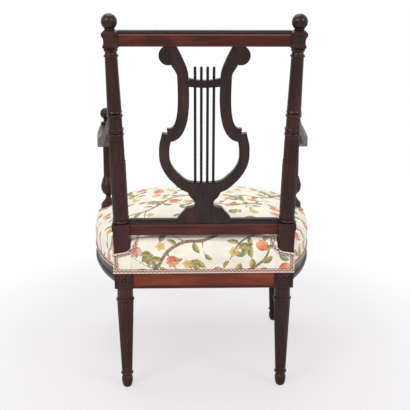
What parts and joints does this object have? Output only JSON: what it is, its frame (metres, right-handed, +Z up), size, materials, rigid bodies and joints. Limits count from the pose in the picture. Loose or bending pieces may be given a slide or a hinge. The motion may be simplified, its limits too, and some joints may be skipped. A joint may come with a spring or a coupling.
{
  "type": "armchair",
  "caption": "Desk armchair with a raked lyre back, turned and fluted mahogany posts and legs, curved arms on turned supports and a bowed stuffed seat in flowered cloth.",
  "frame": {"origin": "on the floor under the middle of the chair, at the centre of the underside of its bounding box", "axes": "+Z up; a sitter faces -Y and the lyre back is at +Y; left in a name is -X and right is +X, as seen from the front"},
  "size_m": [0.6302, 0.6117, 0.9311],
  "materials": {
    "mahogany": "french polished, dark red brown, fine grain, worn a little lighter on edges",
    "dark_mahogany": "french polished, near black brown, sharp highlights",
    "red_mahogany": "french polished figured mahogany, redder and lighter",
    "ebonised": "ebonised, satin polish",
    "beech": "plain sawn, unpolished, with a little glue",
    "screw_steel": "blued wood screws, dull",
    "jute": "coarse woven jute",
    "stuffing": "hair and cotton wadding under a plain lining",
    "cover_cloth": "printed cotton cloth with a cream ground and scattered flowering branches",
    "gimp": "narrow woven braid in rose and cream"
  },
  "bodies": {
    "root": {"rear_post_left": "mahogany", "rear_post_right": "mahogany", "back_finial_left": "dark_mahogany", "back_finial_right": "dark_mahogany", "front_leg_left": "mahogany", "front_leg_right": "mahogany", "rear_rail": "red_mahogany", "front_rail": "mahogany", "side_rail_left": "mahogany", "side_rail_right": "mahogany", "corner_block_rear_left": "beech", "corner_block_rear_right": "beech", "corner_block_front_left": "beech", "corner_block_front_right": "beech", "corner_block_screws": "screw_steel", "crest_rail": "red_mahogany", "lower_back_rail": "red_mahogany", "lyre_frame": "dark_mahogany", "lyre_yoke": "dark_mahogany", "lyre_string_1": "ebonised", "lyre_string_2": "ebonised", "lyre_string_3": "ebonised", "lyre_string_4": "ebonised", "arm_left": "mahogany", "arm_right": "mahogany", "arm_support_left": "mahogany", "arm_support_right": "mahogany", "arm_finial_left": "dark_mahogany", "arm_finial_right": "dark_mahogany", "seat_webbing": "jute", "seat_hessian": "jute", "seat_stuffing": "stuffing", "seat_cover": "cover_cloth", "gimp_braid": "gimp"}
  },
  "joints": []
}
